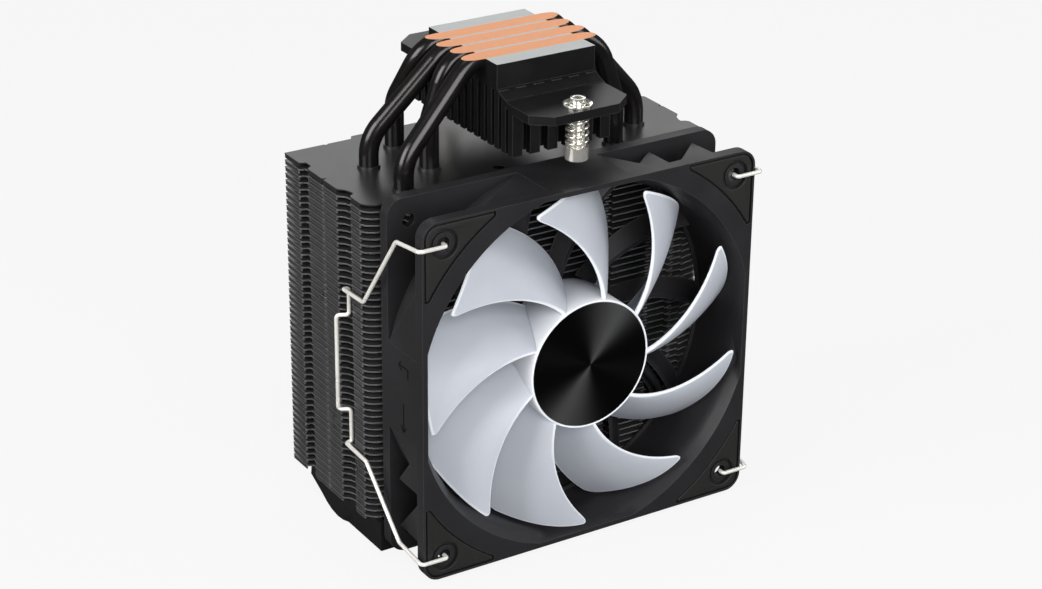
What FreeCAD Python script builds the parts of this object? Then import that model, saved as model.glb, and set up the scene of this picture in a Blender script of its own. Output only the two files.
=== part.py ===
import FreeCAD, Part
import math
import os

Vector = FreeCAD.Vector
os.makedirs("parts", exist_ok=True)

# Tower cooler for a desktop processor: direct-touch base with four bent heat pipes, a stack
# of 49 folded fins, an end cap, a 120 mm nine-blade fan held by two wire clips, and two
# spring screws in the base ears.
#
# Everything is drawn about the fan, in millimetres: X across (left is -X), Y from the fan's
# front face (y = 0) rearwards into the tower, Z up towards the base, origin at the centre of
# the fan's front face. export() then moves each piece so that the origin is the centre of the
# machined contact face and +Z is that face's outward normal.

CONTACT_Y, CONTACT_Z = 48.4, 92.84
ORIGIN = Vector(0, 0, 0)
X_AXIS, Y_AXIS, Z_AXIS = Vector(1, 0, 0), Vector(0, 1, 0), Vector(0, 0, 1)


# --- helpers ---------------------------------------------------------------

def export(name, shape):
    moved = shape.copy()
    moved.translate(Vector(0, -CONTACT_Y, -CONTACT_Z))
    moved.exportStep("parts/%s.step" % name)


def box(x0, x1, y0, y1, z0, z1):
    return Part.makeBox(x1 - x0, y1 - y0, z1 - z0, Vector(x0, y0, z0))


def cyl_y(radius, y0, y1, x=0.0, z=0.0):
    return Part.makeCylinder(radius, y1 - y0, Vector(x, y0, z), Y_AXIS)


def cyl_z(radius, z0, z1, x=0.0, y=0.0):
    return Part.makeCylinder(radius, z1 - z0, Vector(x, y, z0), Z_AXIS)


def ring_y(outer, inner, y0, y1):
    return cyl_y(outer, y0, y1).cut(cyl_y(inner, y0 - 1, y1 + 1))


def closed(points):
    return Part.makePolygon(points + [points[0]])


def flat(points):
    return Part.Face(closed(points))


def prism(points, direction):
    return flat(points).extrude(direction)


def two_triangles(a, b, c, d):
    """The quadrilateral a-b-c-d split along a-c, since its corners may not be coplanar."""
    return [flat([a, b, c]), flat([a, c, d])]


def outward(solid):
    if solid.Volume < 0:
        solid.reverse()
    return solid


def solid_of(faces):
    return outward(Part.Solid(Part.Shell(faces)))


def around_y(shape, count, first=0.0, sense=1):
    """Evenly spaced copies about the fan axis."""
    copies = []
    for k in range(count):
        turned = shape.copy()
        turned.rotate(ORIGIN, Y_AXIS, first + sense * 360.0 / count * k)
        copies.append(turned)
    return copies


def cut_each(shape, tools):
    for tool in tools:
        shape = shape.cut(tool)
    return shape


def centred(index, count, pitch):
    return (index - (count - 1) / 2) * pitch


def edge_start(edge):
    return edge.valueAt(edge.FirstParameter)


def runs_along(edge, axis):
    return abs(edge.tangentAt(edge.FirstParameter).dot(axis)) > 0.9


def rounded_path(points, radii):
    """Wire through 3-D points with an arc of the given radius at each inner point."""
    edges, last = [], points[0]
    for before, corner, after, radius in zip(points, points[1:], points[2:], radii):
        back = (before - corner).normalize()
        ahead = (after - corner).normalize()
        half_angle = back.getAngle(ahead) / 2
        setback = radius / math.tan(half_angle)
        arc_start, arc_end = corner + back * setback, corner + ahead * setback
        bisector = (back + ahead).normalize()
        centre = corner + bisector * (radius / math.sin(half_angle))
        if (arc_start - last).Length > 1e-6:
            edges.append(Part.makeLine(last, arc_start))
        edges.append(Part.Arc(arc_start, centre - bisector * radius, arc_end).toShape())
        last = arc_end
    edges.append(Part.makeLine(last, points[-1]))
    return Part.Wire(edges)


def tube(wire, radius):
    first = wire.Edges[0]
    tangent = first.tangentAt(first.FirstParameter)
    profile = Part.Wire([Part.makeCircle(radius, edge_start(first), tangent)])
    return outward(wire.makePipeShell([profile], True, False))


# --- heat pipes ------------------------------------------------------------

PIPE_R, PIPE_WALL = 3.1, 0.6
PIPE_AXIS_Z = CONTACT_Z - 0.55      # the contact face mills the pipes nearly in half
PIPE_PITCH = 7.2
PIPE_LEG_Y = [35.6, 46.8, 57.4, 68.6]
# leg x, x of the corner in the base, z of the knee above the leg
OUTER_LEG = (45.8, 21.2, 65.0)
INNER_LEG = (30.4, 24.4, 71.0)
# left leg, right leg of each pipe
PIPE_LEGS = [(OUTER_LEG, INNER_LEG), (INNER_LEG, OUTER_LEG)] * 2
KNEE_BEND, BASE_BEND = 14.0, 12.0
PIPE_END_Z = -56.0
TIP_R, TIP_L = 1.2, 2.2
BORE_END_GAP, BORE_ABOVE_FINS = 1.5, 4.0

FIN_TOP_Z = 55.7


def leg_points(k):
    """(x, y) of the left and right legs of pipe k."""
    left, right = PIPE_LEGS[k]
    return [(-left[0], PIPE_LEG_Y[k]), (right[0], PIPE_LEG_Y[k])]


def pipe_path(k):
    base_y = CONTACT_Y + centred(k, 4, PIPE_PITCH)
    sides = []
    for sign, (leg_x, corner_x, knee_z) in zip((-1, 1), PIPE_LEGS[k]):
        sides.append([Vector(sign * corner_x, base_y, PIPE_AXIS_Z),
                      Vector(sign * leg_x, PIPE_LEG_Y[k], knee_z),
                      Vector(sign * leg_x, PIPE_LEG_Y[k], PIPE_END_Z)])
    return rounded_path(sides[0][::-1] + sides[1], [KNEE_BEND, BASE_BEND, BASE_BEND, KNEE_BEND])


def heat_pipe(k):
    """Pipe milled flat at the contact face, with tapered tips and hollow straight legs."""
    pipe = tube(pipe_path(k), PIPE_R).cut(box(-60, 60, 0, 100, CONTACT_Z, CONTACT_Z + 10))
    tips = [Part.makeCone(TIP_R, PIPE_R, TIP_L, Vector(x, y, PIPE_END_Z - TIP_L), Z_AXIS)
            for x, y in leg_points(k)]
    pipe = pipe.fuse(tips).removeSplitter()
    return cut_each(pipe, [cyl_z(PIPE_R - PIPE_WALL, PIPE_END_Z + BORE_END_GAP,
                                 FIN_TOP_Z + BORE_ABOVE_FINS, x, y) for x, y in leg_points(k)])


pipes = [heat_pipe(k) for k in range(4)]
for k, pipe in enumerate(pipes):
    export("heat_pipe_%d" % (k + 1), pipe)


# --- base block: milled contact block, sloped webs, ears and cross-cut pins --

BASE_W, BASE_D = 35.2, 40.8
BLOCK_SIDE_H = 7.85
BASE_UNDER_Z, UNDER_REACH = 84.6, 20.0
EAR_TOP_Z, EAR_T, EAR_REACH = 82.5, 2.9, 43.4
EAR_UNDER_Z = EAR_TOP_Z - EAR_T
WEB_FOOT_TOP, WEB_FOOT_UNDER = 26.6, 28.2
EAR_TIP_HALF, EAR_TAPER_HALF, EAR_TAPER_FROM = 10.3, 17.6, 38.2
EAR_CUT_HALF, EAR_CUT_Z0, EAR_CUT_Z1 = 19.0, 70, 90
SCREW_OFFSET, EAR_HOLE_R = 38.0, 2.45
PIN_COLS, PIN_ROWS = 6, 15
PIN_W, PIN_T = 3.5, 2.4
PIN_PITCH_X, PIN_PITCH_Y = 6.34, 4.04
PIN_BOTTOM_Z, PIN_SINK = 66.0, 0.25
# distance from the block's centre along Y, z
HALF_PROFILE = [
    (BASE_D / 2, CONTACT_Z), (BASE_D / 2, CONTACT_Z - BLOCK_SIDE_H), (WEB_FOOT_TOP, EAR_TOP_Z),
    (EAR_REACH, EAR_TOP_Z), (EAR_REACH, EAR_UNDER_Z), (WEB_FOOT_UNDER, EAR_UNDER_Z),
    (UNDER_REACH, BASE_UNDER_Z)]


def base_pins():
    web_run = WEB_FOOT_UNDER - UNDER_REACH
    slope = (BASE_UNDER_Z - EAR_UNDER_Z) / web_run
    pins = []
    for i in range(PIN_COLS):
        x = centred(i, PIN_COLS, PIN_PITCH_X)
        for j in range(PIN_ROWS):
            y = CONTACT_Y + centred(j, PIN_ROWS, PIN_PITCH_Y)
            # pin tops follow the underside at the pin edge nearest the centre
            reach = max(abs(y - CONTACT_Y) - PIN_T / 2, 0.0)
            top = BASE_UNDER_Z - min(max(reach - UNDER_REACH, 0.0), web_run) * slope + PIN_SINK
            pins.append(box(x - PIN_W / 2, x + PIN_W / 2, y - PIN_T / 2, y + PIN_T / 2,
                            PIN_BOTTOM_Z, top))
    return pins


def base_block():
    outline = [(CONTACT_Y - reach, z) for reach, z in HALF_PROFILE]
    outline += [(CONTACT_Y + reach, z) for reach, z in HALF_PROFILE[::-1]]
    base = prism([Vector(-BASE_W / 2, y, z) for y, z in outline], Vector(BASE_W, 0, 0))
    for end in (-1, 1):
        y_tip, y_in = CONTACT_Y + end * (EAR_REACH + 1), CONTACT_Y + end * EAR_TAPER_FROM
        for side in (-1, 1):
            corner = [(EAR_CUT_HALF, y_tip), (EAR_TIP_HALF, y_tip),
                      (EAR_TAPER_HALF, y_in), (EAR_CUT_HALF, y_in)]
            base = base.cut(prism([Vector(side * x, y, EAR_CUT_Z0) for x, y in corner],
                                  Vector(0, 0, EAR_CUT_Z1 - EAR_CUT_Z0)))
        base = base.cut(cyl_z(EAR_HOLE_R, EAR_CUT_Z0, EAR_CUT_Z1,
                              0, CONTACT_Y + end * SCREW_OFFSET))
    base = base.fuse(base_pins()).removeSplitter()
    return cut_each(base, pipes)


export("base_block", base_block())


# --- fins ------------------------------------------------------------------

FIN_PITCH, FIN_COUNT, FIN_T = 2.22, 49, 0.4
TAB_DROP, TAB_T = 1.1, 0.4
FIN_HOLE_R = PIPE_R + 0.05
COLLAR_R, COLLAR_SINK, COLLAR_H = PIPE_R + 0.5, 0.2, 0.9
SMALL_HOLE_R, SMALL_HOLE_X, SMALL_HOLE_Y = 1.9, -11.5, 36.6
# half of the fin's edge, front to rear: distance from the centre plane, y
FIN_HALF = [
    (22.4, 25.6), (22.4, 27.4), (24.3, 27.4), (24.3, 25.6), (38.6, 25.6), (38.6, 27.6),
    (46.4, 27.6), (46.4, 26.26), (49.2, 27.02), (49.2, 29.2), (53.6, 29.2), (53.6, 28.19),
    (58.4, 29.3), (60.2, 30.1), (61.6, 31.3), (62.4, 32.8), (62.4, 39.0), (61.6, 40.0),
    (60.2, 40.8), (60.4, 42.2), (61.2, 44.6), (63.0, 46.4), (63.0, 54.9), (61.4, 55.5),
    (63.0, 56.1), (63.0, 65.2), (62.2, 66.0), (61.0, 66.8), (61.0, 70.2), (63.0, 71.0),
    (63.0, 80.8), (49.2, 80.8), (48.4, 80.2), (47.6, 80.8), (39.4, 80.8), (38.2, 82.8)]
# folded side tabs: outer face's distance from the centre plane, front y, rear y
TABS = [(62.4, 33.2, 38.7), (63.0, 46.8, 55.25), (63.0, 55.75, 64.9), (63.0, 71.4, 80.5)]
FIN_HOLES = [point for k in range(4) for point in leg_points(k)]


def mirrored_loop(points, z, inset=0.0):
    """Left half then right half of an outline, as points at height z."""
    return ([Vector(-x + inset, y, z) for x, y in points]
            + [Vector(x - inset, y, z) for x, y in points[::-1]])


def fin_at(index):
    """Fin counted down from the top one, with its tabs folded downwards."""
    holes = [(x, y, FIN_HOLE_R) for x, y in FIN_HOLES]
    holes.append((SMALL_HOLE_X, SMALL_HOLE_Y, SMALL_HOLE_R))
    discs = [Part.Face(Part.Wire([Part.makeCircle(radius, Vector(x, y, 0), Z_AXIS)]))
             for x, y, radius in holes]
    plate = cut_each(flat(mirrored_loop(FIN_HALF, 0)), discs).extrude(Vector(0, 0, -FIN_T))
    tabs = []
    for x, y0, y1 in TABS:
        for side in (-1, 1):
            x0, x1 = sorted((side * x, side * (x - TAB_T)))
            tabs.append(box(x0, x1, y0, y1, -FIN_T - TAB_DROP, -FIN_T / 2))
    fin = plate.fuse(tabs).removeSplitter()
    fin.translate(Vector(0, 0, FIN_TOP_Z - index * FIN_PITCH))
    return fin


def top_fin():
    collars = [cyl_z(COLLAR_R, FIN_TOP_Z - COLLAR_SINK, FIN_TOP_Z + COLLAR_H, x, y).cut(
        cyl_z(FIN_HOLE_R, FIN_TOP_Z - 1, FIN_TOP_Z + 2, x, y)) for x, y in FIN_HOLES]
    return fin_at(0).fuse(collars).removeSplitter()


export("fin_top", top_fin())
export("cooling_fins", Part.makeCompound([fin_at(i) for i in range(1, FIN_COUNT)]))


# --- end cap ---------------------------------------------------------------

CAP_Z0, CAP_FLOOR = -61.2, 1.6
CAP_Z1 = FIN_TOP_Z - (FIN_COUNT - 1) * FIN_PITCH - FIN_T - 0.05
POCKET_INSET_BOTTOM, POCKET_INSET_TOP = 2.6, 2.0
# half outlines, front to rear: distance from the centre plane, y
CAP_BOTTOM = [(60.8, 25.8), (60.8, 47.4), (61.6, 49.4), (61.9, 53.0), (61.4, 58.0),
              (60.4, 63.2), (58.9, 69.4), (56.0, 82.4)]
CAP_TOP = [(60.8, 25.8), (60.8, 36.6), (60.2, 41.0), (59.8, 46.0), (59.3, 52.0),
           (58.4, 59.0), (57.2, 67.0), (55.2, 82.4)]


def cap_wire(points, z, inset=0.0):
    front, rear = points[0][1] + inset, points[-1][1] - inset
    return closed([Vector(p.x, min(max(p.y, front), rear), p.z)
                   for p in mirrored_loop(points, z, inset)])


def end_cap():
    cap = Part.makeLoft([cap_wire(CAP_BOTTOM, CAP_Z0), cap_wire(CAP_TOP, CAP_Z1)], True, True)
    pocket = Part.makeLoft([cap_wire(CAP_TOP, CAP_Z0 + CAP_FLOOR, POCKET_INSET_BOTTOM),
                            cap_wire(CAP_TOP, CAP_Z1 + 1, POCKET_INSET_TOP)], True, True)
    return cap.cut(pocket)


export("end_cap", end_cap())


# --- fan frame -------------------------------------------------------------

FAN_HALF, FAN_D, FLANGE_T, FAN_CORNER_R = 60.0, 25.0, 4.0, 5.5
REAR_FLANGE_Y = FAN_D - FLANGE_T
HOLE_AT, FAN_HOLE_R, BOSS_R = 105.0 / 2, 2.2, 3.5
DUCT_R, DUCT_OUT_R = 58.2, 61.0
LIP_R, LIP_OUT_R, LIP_T = 57.2, 59.5, 0.8
MOUTH_R, MOUTH_FLARE, MOUTH_L, MOUTH_FLAT = 61.0, 0.47, 7.0, 58.3
PANEL_HALF, PANEL_T = 14.4, 6
FACET_T = 7
# side of the panel along Z, tip's distance along Z, sink of the tip
FACETS = [(1, 41.0, 2.4), (-1, 29.5, 2.0)]
TOOTH_SINK, TOOTH_L = 2.0, 15.0
# triangles: y, distance below the centre
TEETH = [[(3.6, 14.0), (18.6, 32.4), (3.6, 32.8)], [(3.6, 32.4), (18.0, 48.5), (3.6, 49.6)]]
PAD_EDGE, PAD_CORNER_R, PAD_ARC, PAD_TIP, PAD_GAP = 58.7, 4.2, 67.9, 35.4, 0.65
VANES, VANE_ANGLE, VANE_SWEEP, VANE_LEAN = 11, -24.7, -0.62, 7.0
VANE_R0, VANE_R1, VANE_MID_R, VANE_HALF_T = 20.2, 59.4, 41, 0.65
GUARD_HALF_T, GUARD_OFFSET, GUARD_Y0 = 2.2, -3.0, 24.1


def rounded_square(half, y0, y1):
    block = box(-half, half, y0, y1, -half, half)
    return block.makeFillet(FAN_CORNER_R, [e for e in block.Edges if runs_along(e, Y_AXIS)])


def corner_pads(grow, y0, y1, hole_r=None):
    """Pad areas in the four corners: square corners less a round of radius PAD_ARC."""
    edge = PAD_EDGE + grow
    pad = box(20, edge, y0, y1, 20, edge)
    outer = [e for e in pad.Edges if runs_along(e, Y_AXIS)
             and edge_start(e).x > edge - 0.01 and edge_start(e).z > edge - 0.01]
    pad = pad.makeFillet(PAD_CORNER_R + grow, outer)
    pad = pad.cut(cyl_y(PAD_ARC - grow, y0 - 1, y1 + 1))
    tip = PAD_TIP - grow
    pad = pad.cut(box(0, tip, y0 - 1, y1 + 1, 50, 70)).cut(box(50, 70, y0 - 1, y1 + 1, 0, tip))
    if hole_r:
        pad = pad.cut(cyl_y(hole_r, y0 - 2, y1 + 2, HOLE_AT, HOLE_AT))
    return around_y(pad, 4)


def facet(side, tip, sink):
    """Triangular facet beside the left panel: from the panel's corner at the rear flange
    up along the front flange, sinking inward to its far tip."""
    y0, y1 = FLANGE_T - 0.5, REAR_FLANGE_Y + 0.3
    root = side * (PANEL_HALF - 0.5)
    outer = [Vector(-FAN_HALF, y0, root), Vector(-FAN_HALF, y1, root),
             Vector(-FAN_HALF + sink, y0, side * tip)]
    inner = [Vector(-FAN_HALF + FACET_T, p.y, p.z) for p in outer]
    faces = [flat(outer), flat(inner)]
    for i in range(3):
        j = (i + 1) % 3
        faces.append(flat([outer[i], outer[j], inner[j], inner[i]]))
    return solid_of(faces)


def side_details():
    """Facets and pointed teeth of the left side, mirrored across the corner diagonal, and
    both repeated by half a turn."""
    left = [facet(*row) for row in FACETS]
    left += [prism([Vector(-FAN_HALF + TOOTH_SINK, y, -z) for y, z in tooth],
                   Vector(TOOTH_L, 0, 0)) for tooth in TEETH]
    diagonal = Vector(1, 0, 1).normalize()
    details = []
    for shape in left:
        details += around_y(shape, 2) + around_y(shape.mirror(ORIGIN, diagonal), 2)
    return details


def frame_shell():
    shell = rounded_square(FAN_HALF, 0, FAN_D)
    panel = box(-FAN_HALF, -FAN_HALF + PANEL_T, FLANGE_T, REAR_FLANGE_Y, -PANEL_HALF, PANEL_HALF)
    recess = rounded_square(FAN_HALF + 10, FLANGE_T, REAR_FLANGE_Y)
    recess = cut_each(recess.cut(cyl_y(DUCT_OUT_R, FLANGE_T, REAR_FLANGE_Y)), around_y(panel, 4))
    shell = shell.cut(recess).multiFuse(side_details())
    shell = shell.cut(cyl_y(DUCT_R, -1, FAN_D + 1))
    mouth = Part.makeCone(MOUTH_R + MOUTH_FLARE, DUCT_R, MOUTH_L, Vector(0, -1, 0), Y_AXIS)
    mouth = mouth.common(box(-MOUTH_FLAT, MOUTH_FLAT, -1, 8, -MOUTH_FLAT, MOUTH_FLAT))
    # a thin lip closes the duct in at the rear
    return shell.cut(mouth).fuse(ring_y(LIP_OUT_R, LIP_R, FAN_D - LIP_T, FAN_D))


def hub_carrier():
    """Shallow cup at the rear with the bearing tube standing forward from it."""
    hub = cyl_y(21.0, 20.6, FAN_D).cut(cyl_y(19.6, 20, 24.0))
    return hub.fuse(cyl_y(4.3, 7.0, 24.4)).cut(cyl_y(3.05, 6.0, 24.0))


def swept_angle(start, radius):
    return math.radians(start + VANE_SWEEP * (radius - VANE_MID_R))


def vane_loop(angle, y, steps, half, offset=0.0):
    """Closed outline at y of a swept strip of thickness 2 * half beside the vane centreline."""
    line = []
    for i in range(steps + 1):
        radius = VANE_R0 + (VANE_R1 - VANE_R0) * i / steps
        swept = swept_angle(angle, radius)
        line.append((radius * math.cos(swept), radius * math.sin(swept)))
    left, right = [], []
    for i, (x, z) in enumerate(line):
        xa, za = line[max(i - 1, 0)]
        xb, zb = line[min(i + 1, steps)]
        length = math.hypot(xb - xa, zb - za)
        nx, nz = -(zb - za) / length, (xb - xa) / length
        left.append(Vector(x + nx * (offset + half), y, z + nz * (offset + half)))
        right.append(Vector(x + nx * (offset - half), y, z + nz * (offset - half)))
    return left + right[::-1]


def leaning_vane(angle):
    """Swept stator plate whose rear edge leans VANE_LEAN degrees round from its front edge."""
    front = vane_loop(angle, 20.7, 10, VANE_HALF_T)
    back = vane_loop(angle + VANE_LEAN, FAN_D, 10, VANE_HALF_T)
    faces = [flat(front), flat(back)]
    for i in range(len(front)):
        j = (i + 1) % len(front)
        faces += two_triangles(front[i], front[j], back[j], back[i])
    return solid_of(faces)


def fan_frame():
    vanes = [leaning_vane(VANE_ANGLE + 360.0 / VANES * k) for k in range(VANES)]
    # wide flat strip behind the cable
    vanes.append(prism(vane_loop(VANE_ANGLE, GUARD_Y0, 14, GUARD_HALF_T, GUARD_OFFSET),
                       Vector(0, FAN_D - GUARD_Y0, 0)))
    frame = frame_shell().multiFuse([hub_carrier()] + vanes)
    # pad recesses, ring bosses in the front ones, and screw holes
    frame = cut_each(frame, corner_pads(PAD_GAP, -1, 1.6))
    frame = cut_each(frame, corner_pads(PAD_GAP, FAN_D - 1.4, FAN_D + 1))
    for boss in around_y(cyl_y(BOSS_R, 0.6, 2.0, HOLE_AT, HOLE_AT), 4):
        frame = frame.fuse(boss)
    frame = cut_each(frame, around_y(cyl_y(FAN_HOLE_R, -1, FAN_D + 1, HOLE_AT, HOLE_AT), 4))
    frame = frame.cut(tube(cable_path(), CABLE_R + CABLE_CLEAR))
    if frame.ShapeType == "Compound" and len(frame.Solids) == 1:
        frame = frame.Solids[0]
    return frame


# --- fan cable, connector and rubber pads ----------------------------------

CABLE_Y, CABLE_R, CABLE_CLEAR = 22.5, 1.25, 0.15
CABLE_OFFSET, CABLE_TILT = 2.75, 0.42       # sideways from the vane centreline; radians
CABLE_RADII = [20.4, 26, 33, 40, 47, 54, 60]
CABLE_TAIL = [(50.6, 21.4, -43.5), (53.0, 18.4, -46.0), (54.6, 15.2, -45.4)]    # x, y, z
SOCKETS, SOCKET_PITCH, SOCKET_W = 4, 2.54, 1.1
PAD_HOLE_R = 4.8


def cable_path():
    """Beside one vane, then forward into the recess at the +X -Z corner."""
    points = []
    for radius in CABLE_RADII:
        swept = swept_angle(VANE_ANGLE, radius)
        tilted = swept - CABLE_TILT
        points.append(Vector(radius * math.cos(swept) + CABLE_OFFSET * math.sin(tilted), CABLE_Y,
                             radius * math.sin(swept) - CABLE_OFFSET * math.cos(tilted)))
    spline = Part.BSplineCurve()
    spline.interpolate(points + [Vector(*point) for point in CABLE_TAIL])
    return Part.Wire([spline.toShape()])


def fan_connector():
    """Housing with a raised front face, a row of sockets and a cable hole at the rear."""
    body = box(51.9, 57.6, 8.4, 14.8, -47.2, -36.8)
    body = body.fuse(box(53.4, 56.1, 7.4, 8.5, -46.4, -37.6))
    for k in range(SOCKETS):
        z = -46.2 + SOCKET_PITCH * k
        body = body.cut(box(54.2, 54.2 + SOCKET_W, 7.0, 13.5, z, z + SOCKET_W))
    cable_x, _, cable_z = CABLE_TAIL[-1]
    return body.cut(cyl_y(1.4, 14.0, 16.0, cable_x, cable_z))


export("fan_frame", fan_frame())
export("fan_cable", tube(cable_path(), CABLE_R))
export("fan_connector", fan_connector())
for name, y0, y1 in (("front", 0.0, 1.55), ("rear", FAN_D - 1.35, FAN_D + 0.3)):
    export("corner_pads_" + name, Part.makeCompound(corner_pads(0, y0, y1, PAD_HOLE_R)))


# --- impeller --------------------------------------------------------------

HUB_R, BLADE_TIP_R, BLADES = 21.5, 57.2, 9
BLADE_START_R = 20.95               # inside the hub wall, so that blade and hub merge
# angle in degrees at the hub, and its gain per mm of radius
LEAD_ANGLE, LEAD_GAIN = -42.6, 0.97
TRAIL_ANGLE, TRAIL_GAIN = -69.7, 0.875
BLADE_T, BLADE_THINNING = 1.9, 0.8
BLADE_ROWS, BLADE_COLS = 6, 8


def blade_point(radius, t):
    """Point on the blade's middle surface; t runs from leading (0) to trailing edge (1)."""
    out = radius - HUB_R
    span = out / (BLADE_TIP_R - HUB_R)
    lead = LEAD_ANGLE + LEAD_GAIN * out
    trail = TRAIL_ANGLE + TRAIL_GAIN * out
    y_lead = 1.3 + 0.2 * span
    y_trail = 18.2 - 1.6 * span
    camber = 1.35 + 0.65 * span
    angle = math.radians(lead + (trail - lead) * t)
    return Vector(radius * math.cos(angle), y_lead + (y_trail - y_lead) * t ** camber,
                  radius * math.sin(angle))


def blade_solid():
    """One blade as a closed faceted solid: two skins of triangles joined round the edge."""
    upper, lower = [], []
    step = 1e-3
    for i in range(BLADE_ROWS):
        span = i / (BLADE_ROWS - 1)
        radius = BLADE_START_R + (BLADE_TIP_R - BLADE_START_R) * span
        thick = BLADE_T - BLADE_THINNING * span
        upper.append([])
        lower.append([])
        for j in range(BLADE_COLS):
            t = j / (BLADE_COLS - 1)
            along = blade_point(radius + step, t) - blade_point(radius - step, t)
            across = (blade_point(radius, min(t + step, 1))
                      - blade_point(radius, max(t - step, 0)))
            normal = along.cross(across).normalize()
            # thickest mid-chord, thinning to both edges
            swell = math.sin(math.pi * min(max(t, 0.04), 0.97))
            half = thick * (0.45 + 0.55 * swell) / 2
            upper[i].append(blade_point(radius, t) + normal * half)
            lower[i].append(blade_point(radius, t) - normal * half)
    faces = []
    for skin in (upper, lower):
        for row, after in zip(skin, skin[1:]):
            for j in range(BLADE_COLS - 1):
                faces += two_triangles(row[j], row[j + 1], after[j + 1], after[j])
    for j in range(BLADE_COLS - 1):
        for i in (0, -1):
            faces += two_triangles(upper[i][j], upper[i][j + 1], lower[i][j + 1], lower[i][j])
    for i in range(BLADE_ROWS - 1):
        for j in (0, -1):
            faces += two_triangles(upper[i][j], upper[i + 1][j], lower[i + 1][j], lower[i][j])
    return solid_of(faces)


def impeller():
    """Hub cup open at the rear, with a shallow front recess for the disc, and the blades."""
    cup = cyl_y(HUB_R, 0.2, 19.2).cut(cyl_y(18.3, 3.2, 20)).cut(cyl_y(20.8, -1, 1.4))
    shape = cup.multiFuse(around_y(blade_solid(), BLADES, sense=-1))
    if len(shape.Solids) == 1:
        shape = shape.Solids[0]
    return shape


export("impeller", impeller())
export("hub_disc", cyl_y(20.7, 0.25, 1.35))


# --- fan motor -------------------------------------------------------------

SHAFT_R, BEARING_CLEAR = 1.5, 0.05
CORE_Y0, CORE_Y1 = 8.0, 15.0
# node: outer radius, inner radius, front y, rear y
MOTOR_RINGS = {
    "rotor_magnet": (17.25, 15.4, 6.0, 17.5),
    "bearing_sleeve": (3.0, SHAFT_R + BEARING_CLEAR, 7.2, 21.6),
    "fan_circuit_board": (18.5, 4.6, 22.7, 23.9),
}


def rotor_yoke():
    yoke = cyl_y(18.25, 3.25, 18.6).cut(cyl_y(17.3, 4.2, 20))
    return yoke.cut(cyl_y(SHAFT_R + 0.02, 3, 5))


def fan_shaft():
    """Shaft with a groove near its rear end for the split ring."""
    return cyl_y(SHAFT_R, 3.3, 23.2).cut(ring_y(3, 1.15, 22.3, 22.7))


def shaft_ring():
    return ring_y(2.6, 1.2, 22.35, 22.65).cut(box(-0.5, 0.5, 22, 23, 0, 4))


def stator_core():
    """Central ring, four poles and the shoes at their ends."""
    poles = around_y(box(5.5, 12.6, CORE_Y0, CORE_Y1, -1.9, 1.9), 4, first=45)
    gaps = around_y(box(10, 20, CORE_Y0 - 1, CORE_Y1 + 1, -1.3, 1.3), 4)
    shoes = cut_each(ring_y(14.9, 12.2, CORE_Y0, CORE_Y1), gaps)
    centre = ring_y(6.6, 4.35, CORE_Y0, CORE_Y1)
    return centre.multiFuse(poles + [shoes]).removeSplitter()


def stator_coils():
    half, corner_r = 3.4, 0.8
    winding = box(7.4, 11.6, 6.8, 16.2, -half, half).cut(box(7, 12.4, 7.9, 15.1, -2.0, 2.0))
    winding = winding.makeFillet(corner_r, [
        e for e in winding.Edges
        if runs_along(e, X_AXIS) and abs(abs(edge_start(e).z) - half) < 0.01])
    return Part.makeCompound(around_y(winding, 4, first=45))


for name, sizes in MOTOR_RINGS.items():
    export(name, ring_y(*sizes))
export("rotor_yoke", rotor_yoke())
export("fan_shaft", fan_shaft())
export("shaft_ring", shaft_ring())
export("stator_core", stator_core())
export("stator_coils", stator_coils())
led = box(14.0, 16.8, 21.95, 22.65, -1.4, 1.4)
export("fan_leds", Part.makeCompound(around_y(led, 8, first=22.5)))


# --- wire clips ------------------------------------------------------------

WIRE_R = 0.65
PIVOT_X, PIVOT_Y, PIVOT_Z = -52.5, -1.3, 52.4
# left clip from its upper to its lower end: x, y, z, bend radius (None at the ends)
CLIP_PATH = [
    (PIVOT_X, 0.9, PIVOT_Z, None), (PIVOT_X, PIVOT_Y, PIVOT_Z, 0.9),
    (-61.6, PIVOT_Y, PIVOT_Z, 1.4), (-62.2, 11.6, 51.2, 2.0),
    (-63.7, 29.4, 24.8, 2.0), (-63.7, 42.3, 24.2, 0.8),
    (-61.75, 42.3, 23.9, 0.8), (-61.75, 42.3, 15.0, 1.2),
    (-65.3, 44.2, 15.0, 1.2), (-65.3, 44.2, -17.6, 1.2),
    (-61.75, 42.3, -17.6, 1.2), (-61.75, 42.3, -28.9, 0.8),
    (-63.7, 42.3, -29.2, 0.8), (-63.7, 29.4, -29.8, 2.0),
    (-62.2, 11.6, -50.4, 2.0), (-61.6, PIVOT_Y, -PIVOT_Z, 1.4),
    (PIVOT_X, PIVOT_Y, -PIVOT_Z, 0.9), (PIVOT_X, 0.9, -PIVOT_Z, None)]

clip = tube(rounded_path([Vector(*row[:3]) for row in CLIP_PATH],
                         [row[3] for row in CLIP_PATH[1:-1]]), WIRE_R)
export("clip_left", clip)
export("clip_right", clip.mirror(ORIGIN, X_AXIS))


# --- spring screws ---------------------------------------------------------

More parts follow.
